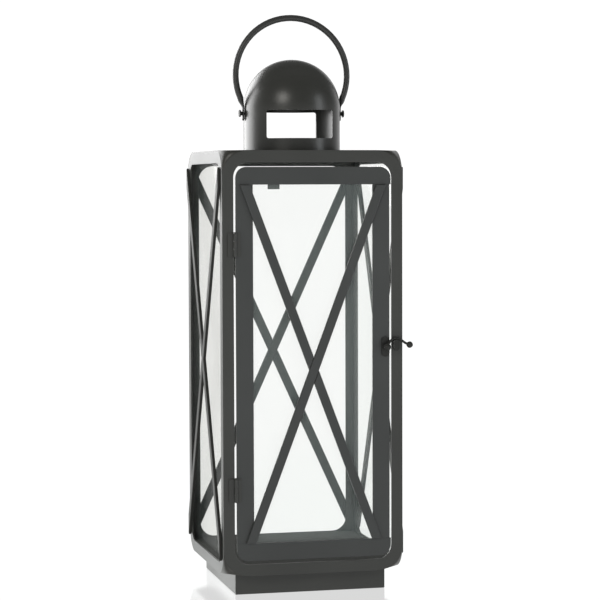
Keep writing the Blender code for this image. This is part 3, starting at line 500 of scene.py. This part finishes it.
PANE_EDGE = 0.0003
MIRROR_ROUGHNESS = 0.02
FACE_ON_SHARE = 0.04   # part of the full mirror that a pane keeps when it is seen face on
FILM = (0.80, 0.92, 0.91)
WAVE_SCALE = 12.0
WAVE_STRENGTH = 0.015
WAVE_DEPTH = 0.0003
MIRROR_POWER = 5.0
GLASSES = (            # wall, body, what a face lets through, full mirror, haze
    ("left", "lantern_body", (0.885, 0.885, 0.875), 0.10, 0.012),
    ("right", "lantern_body", (0.962, 0.966, 0.958), 0.14, 0.012),
    ("back", "lantern_body", (0.98, 0.98, 0.976), 0.14, 0.012),
    ("door", "door", (0.992, 0.994, 0.99), 0.14, 0.06),
)


def window_glass(name, tint, mirror_share, haze):
    """A thin pane: clear with a faint film of haze, its mirror growing towards low angles."""
    material = bpy.data.materials.new(name)
    material.use_nodes = True
    tree = material.node_tree
    tree.nodes.remove(tree.nodes["Principled BSDF"])
    place = tree.nodes.new("ShaderNodeTexCoord")
    waves = tree.nodes.new("ShaderNodeTexNoise")
    waves.inputs["Scale"].default_value = WAVE_SCALE
    link(tree, place.outputs["Object"], waves.inputs["Vector"])
    ripple = tree.nodes.new("ShaderNodeBump")
    ripple.inputs["Strength"].default_value = WAVE_STRENGTH
    ripple.inputs["Distance"].default_value = WAVE_DEPTH
    link(tree, waves.outputs["Fac"], ripple.inputs["Height"])
    clear = tree.nodes.new("ShaderNodeBsdfTransparent")
    clear.inputs["Color"].default_value = (*tint, 1.0)
    mirror = tree.nodes.new("ShaderNodeBsdfGlossy")
    mirror.inputs["Roughness"].default_value = MIRROR_ROUGHNESS
    link(tree, ripple.outputs["Normal"], mirror.inputs["Normal"])
    tilt = tree.nodes.new("ShaderNodeLayerWeight")
    tilt.inputs["Blend"].default_value = 0.5
    fifth = tree.nodes.new("ShaderNodeMath")
    fifth.operation = "POWER"
    fifth.inputs[1].default_value = MIRROR_POWER
    link(tree, tilt.outputs["Facing"], fifth.inputs[0])
    share = tree.nodes.new("ShaderNodeMapRange")
    share.inputs["To Min"].default_value = FACE_ON_SHARE * mirror_share
    share.inputs["To Max"].default_value = mirror_share
    link(tree, fifth.outputs["Value"], share.inputs["Value"])
    film = tree.nodes.new("ShaderNodeBsdfDiffuse")
    film.inputs["Color"].default_value = (*FILM, 1.0)
    hazed = tree.nodes.new("ShaderNodeMixShader")
    hazed.inputs["Fac"].default_value = haze
    link(tree, clear.outputs["BSDF"], hazed.inputs[1])
    link(tree, film.outputs["BSDF"], hazed.inputs[2])
    blend = tree.nodes.new("ShaderNodeMixShader")
    link(tree, share.outputs["Result"], blend.inputs["Fac"])
    link(tree, hazed.outputs["Shader"], blend.inputs[1])
    link(tree, mirror.outputs["BSDF"], blend.inputs[2])
    link(tree, blend.outputs["Shader"], tree.nodes["Material Output"].inputs["Surface"])
    return material


for wall, body, tint, mirror_share, haze in GLASSES:
    glass = window_glass(f"{wall}_window_glass", tint, mirror_share, haze)
    low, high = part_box(f"{wall}_glass")
    bm = sheet_block(low, high)
    round_edges(bm, PANE_EDGE, 1)
    add_piece(f"{wall}_pane", bm, glass, body, [f"{wall}_glass"])


# --- Glass tabs ----------------------------------------------------------------------------------
# Narrow strips of mild steel bent over the edge of each pane and spot welded to the rails, painted
# with the body.

tab_paint = powder_coat("tab_powder_coat", GREY, patch_scale=40.0)
for node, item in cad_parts.items():
    if "_tab_" in node:
        item.data.materials.clear()
        item.data.materials.append(tab_paint)


# --- Door ----------------------------------------------------------------------------------------
# Two rails with rounded outer corners and two stiles cut between them, all of flat steel strip,
# welded from behind so that the butt joints show as fine lines at the front.

DOOR_EDGE = 0.00025
DOOR_GREY = (0.053, 0.057, 0.056)

door_paint = powder_coat("door_powder_coat", DOOR_GREY)
rail_low, rail_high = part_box("door_bottom_rail")[1].z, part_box("door_top_rail")[0].z
for node in ("door_top_rail", "door_bottom_rail", "door_hinge_stile", "door_latch_stile"):
    bm = clean_copy(node)
    if node.endswith("stile"):
        low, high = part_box(node)
        reach = (rail_high - rail_low) / (high.z - low.z)
        bmesh.ops.scale(
            bm, vec=(1.0, 1.0, reach), verts=bm.verts,
            space=Matrix.Translation((0.0, 0.0, -(rail_low + rail_high) / 2)),
        )
    round_edges(bm, DOOR_EDGE, 2)
    add_piece(f"{node}_strip", bm, door_paint, "door", [node])


# --- Door bars -----------------------------------------------------------------------------------
# The crossed steel bars of the door lie on the face of its stiles, their ends cut level against
# the rails and welded there. Their front edges are well rounded.

DOOR_BAR_EDGE = 0.0014

for lean in ("rising", "falling"):
    node = f"door_bar_{lean}"
    bm = seated_copy(node, (0, 1, 0))
    round_edges(bm, DOOR_BAR_EDGE, 3)
    add_piece(f"{node}_flat", bm, door_paint, "door", [node])


# --- Hinges --------------------------------------------------------------------------------------
# Two one-inch butt hinges of rolled steel with riveted pins, their leaves welded on the frame and
# the door and painted over.

hinge_paint = powder_coat("hinge_powder_coat", GREY)
for place in ("upper", "lower"):
    for part, body in (("frame_leaf", "lantern_body"), ("door_leaf", "door"), ("pin", "lantern_body")):
        node = f"{place}_hinge_{part}"
        bm = clean_copy(node) if part == "pin" else seated_copy(node, (0, 1, 0))
        add_piece(f"{node}_rolled", bm, hinge_paint, body, [node],
                  smooth_angle=30.0, flat=False)


# --- Latch ---------------------------------------------------------------------------------------
# A round-ended plate and a turned ball-headed pin on the door, a peg on the frame, and between
# them a lever bent from wire with an eye at one end and a ball at the other. All of it is steel,
# painted darker than the body and riveted or welded in place.

HARDWARE_TONE = (0.030, 0.031, 0.029)

hardware_paint = powder_coat(
    "hardware_powder_coat", HARDWARE_TONE, patch_scale=60.0, gloss_range=(0.5, 0.6), sheen=0.3,
)
for node, body in (
    ("latch_plate", "door"), ("latch_pivot", "door"),
    ("latch_peg", "lantern_body"), ("latch_lever", "latch"),
):
    bm = clean_copy(node)
    add_piece(f"{node}_turned", bm, hardware_paint, body, [node],
              smooth_angle=40.0, flat=False)


# --- Chimney -------------------------------------------------------------------------------------
# One spun steel cap: a straight tube with a window cut through its front and back, running up
# without a seam into a half-round dome. It is welded on the roof round the vent.

CHIMNEY_STEPS = 128
DOME_STEPS = 28
CHIMNEY_SHEET = 0.0015
CHIMNEY_WELD = 0.0003
# Darker than the body's grey: painted shade for a cap that gets little light from the dark room above.
CHIMNEY_SHADED_TONE = (0.032, 0.033, 0.029)
WINDOW_WIDTH = 0.0745
WINDOW_SILL = 0.014
WINDOW_HEIGHT = 0.031
WINDOW_RADIUS = 0.002
WINDOW_STEPS = 6
PUNCH_SPARE = 0.016   # how far the window punch runs past the chimney

tube_low, tube_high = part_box("chimney_tube")
dome_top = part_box("chimney_dome")[1].z
chimney_radius = tube_high.x
window_low = body_high.z + WINDOW_SILL
window_high = window_low + WINDOW_HEIGHT
bm = bmesh.new()
top = bm.verts.new((0, 0, dome_top))
arc = bmesh.ops.spin(
    bm, geom=[top], cent=(0, 0, dome_top - chimney_radius), axis=(0, 1, 0), angle=math.pi / 2,
    steps=DOME_STEPS, use_merge=False,
)
rim = [part for part in arc["geom_last"] if isinstance(part, bmesh.types.BMVert)]
foot = bmesh.ops.extrude_vert_indiv(bm, verts=rim)["verts"]
bmesh.ops.translate(bm, vec=(0, 0, tube_low.z - CHIMNEY_WELD - rim[0].co.z), verts=foot)
bmesh.ops.spin(
    bm, geom=list(bm.verts) + list(bm.edges), cent=(0, 0, 0), axis=(0, 0, 1), angle=2 * math.pi,
    steps=CHIMNEY_STEPS, use_merge=True,
)
bmesh.ops.remove_doubles(bm, verts=bm.verts, dist=MERGE_DISTANCE)
bmesh.ops.recalc_face_normals(bm, faces=bm.faces)
if bm.faces[0].normal.dot(bm.faces[0].calc_center_median() - Vector((0, 0, tube_low.z))) < 0:
    bmesh.ops.reverse_faces(bm, faces=bm.faces)
bmesh.ops.solidify(bm, geom=list(bm.faces), thickness=CHIMNEY_SHEET)
chimney_mesh = bpy.data.meshes.new("chimney_blank")
bm.to_mesh(chimney_mesh)
bm.free()
blank = bpy.data.objects.new("chimney_blank", chimney_mesh)
bpy.context.collection.objects.link(blank)

bm = bmesh.new()
punch_reach = chimney_radius + PUNCH_SPARE
rounded_rectangle(
    bm, -WINDOW_WIDTH / 2, WINDOW_WIDTH / 2, window_low, window_high, WINDOW_RADIUS, -punch_reach,
    WINDOW_STEPS,
)
pushed = bmesh.ops.extrude_face_region(bm, geom=list(bm.faces))
moved = [part for part in pushed["geom"] if isinstance(part, bmesh.types.BMVert)]
bmesh.ops.translate(bm, vec=(0, 2 * punch_reach, 0), verts=moved)
bmesh.ops.recalc_face_normals(bm, faces=bm.faces)
punch_mesh = bpy.data.meshes.new("window_punch")
bm.to_mesh(punch_mesh)
bm.free()
punch = bpy.data.objects.new("window_punch", punch_mesh)
bpy.context.collection.objects.link(punch)
window_cut = blank.modifiers.new("windows", "BOOLEAN")
window_cut.operation = "DIFFERENCE"
window_cut.object = punch
bpy.context.view_layer.update()
bm = bmesh.new()
bm.from_object(blank, bpy.context.evaluated_depsgraph_get())
bpy.data.objects.remove(blank)
bpy.data.objects.remove(punch)
# The cap's paint carries that painted shade.
chimney_shade_paint = powder_coat("chimney_painted_shade_coat", CHIMNEY_SHADED_TONE, gloss_range=(0.28, 0.34), sheen=0.6)
add_piece("chimney", bm, chimney_shade_paint, "lantern_body",
          ["chimney_tube", "chimney_dome"], smooth_angle=45.0, flat=False)


# --- Bail ----------------------------------------------------------------------------------------
# A loop of 7 mm steel rod, its two ends hammered flat into ears and drilled, held by mushroom-headed
# rivets through the chimney wall.

# Darker than the body's grey: painted shade on the rod, which gets little light from the dark room above.
BAIL_SHADED_TONE = (0.036, 0.037, 0.035)

# The rod's paint carries that painted shade.
bail_shade_paint = powder_coat("bail_painted_shade_coat", BAIL_SHADED_TONE)
bm = clean_copy("bail_handle")
add_piece("bail_loop", bm, bail_shade_paint, "bail", ["bail_handle"],
          smooth_angle=60.0, flat=False)
for side in ("left", "right"):
    bm = clean_copy(f"bail_rivet_{side}")
    add_piece(f"rivet_{side}", bm, hardware_paint, "lantern_body", [f"bail_rivet_{side}"])
